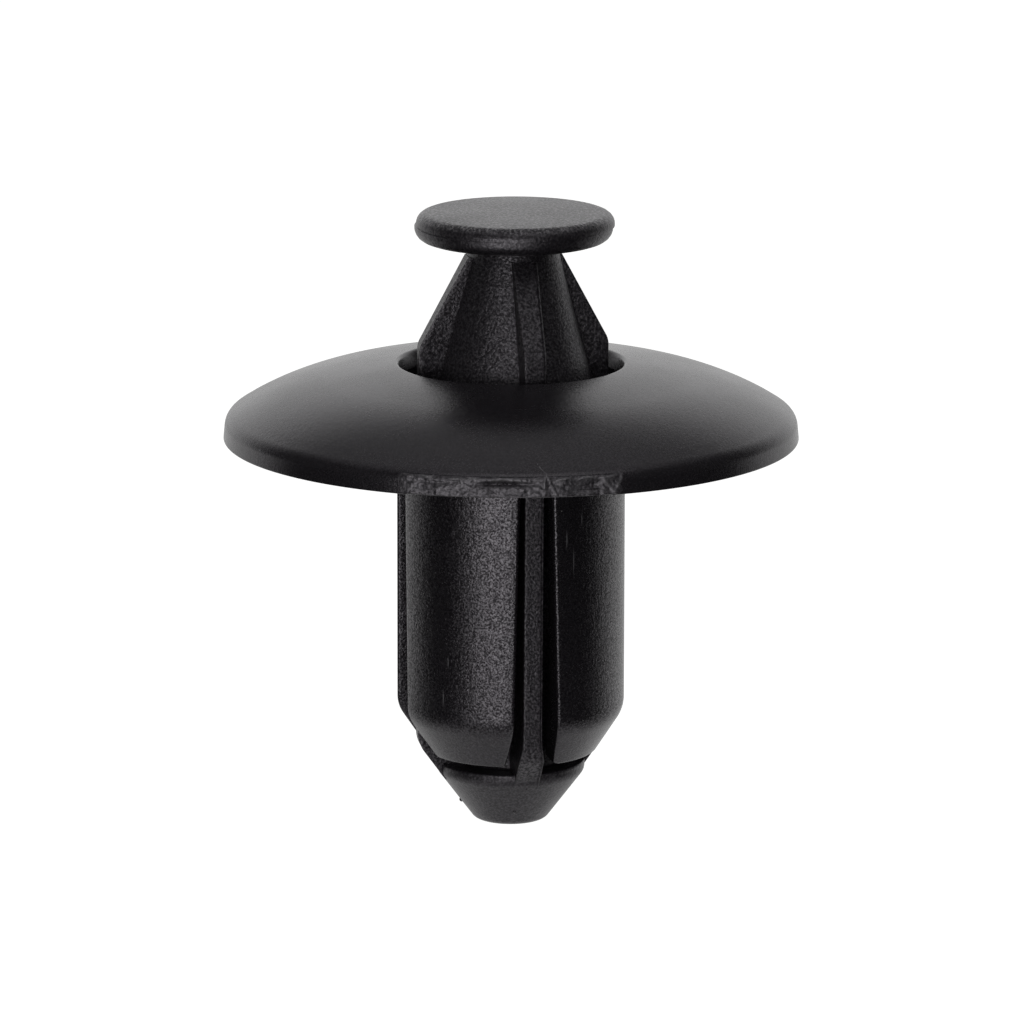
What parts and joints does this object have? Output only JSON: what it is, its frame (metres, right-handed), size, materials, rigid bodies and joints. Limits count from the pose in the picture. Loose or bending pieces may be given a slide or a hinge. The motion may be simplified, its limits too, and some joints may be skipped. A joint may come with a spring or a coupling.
{
  "type": "push-type retainer",
  "caption": "Push-type panel retainer: a domed round flange on slotted sprung legs, with a finned centre pin that is pushed down to spread them.",
  "frame": {"origin": "on the axis, in the plane where the flange's rim seats on the panel", "axes": "+Z along the axis towards the pin's head; the fins and the slots between the legs lie along X and Y"},
  "size_m": [0.025, 0.025, 0.027],
  "materials": {
    "grommet_nylon": "injection-moulded black nylon, fine satin grain",
    "pin_nylon": "injection-moulded black nylon, coarser sparking grain on the fins"
  },
  "bodies": {
    "grommet": {"grommet": "grommet_nylon"},
    "push_pin": {"push_pin": "pin_nylon"}
  },
  "joints": [
    {"name": "pin_push", "type": "slide", "parent": "grommet", "child": "push_pin", "axis": [0, 0, 1], "range_m": [-0.00655, 0.0004]}
  ]
}
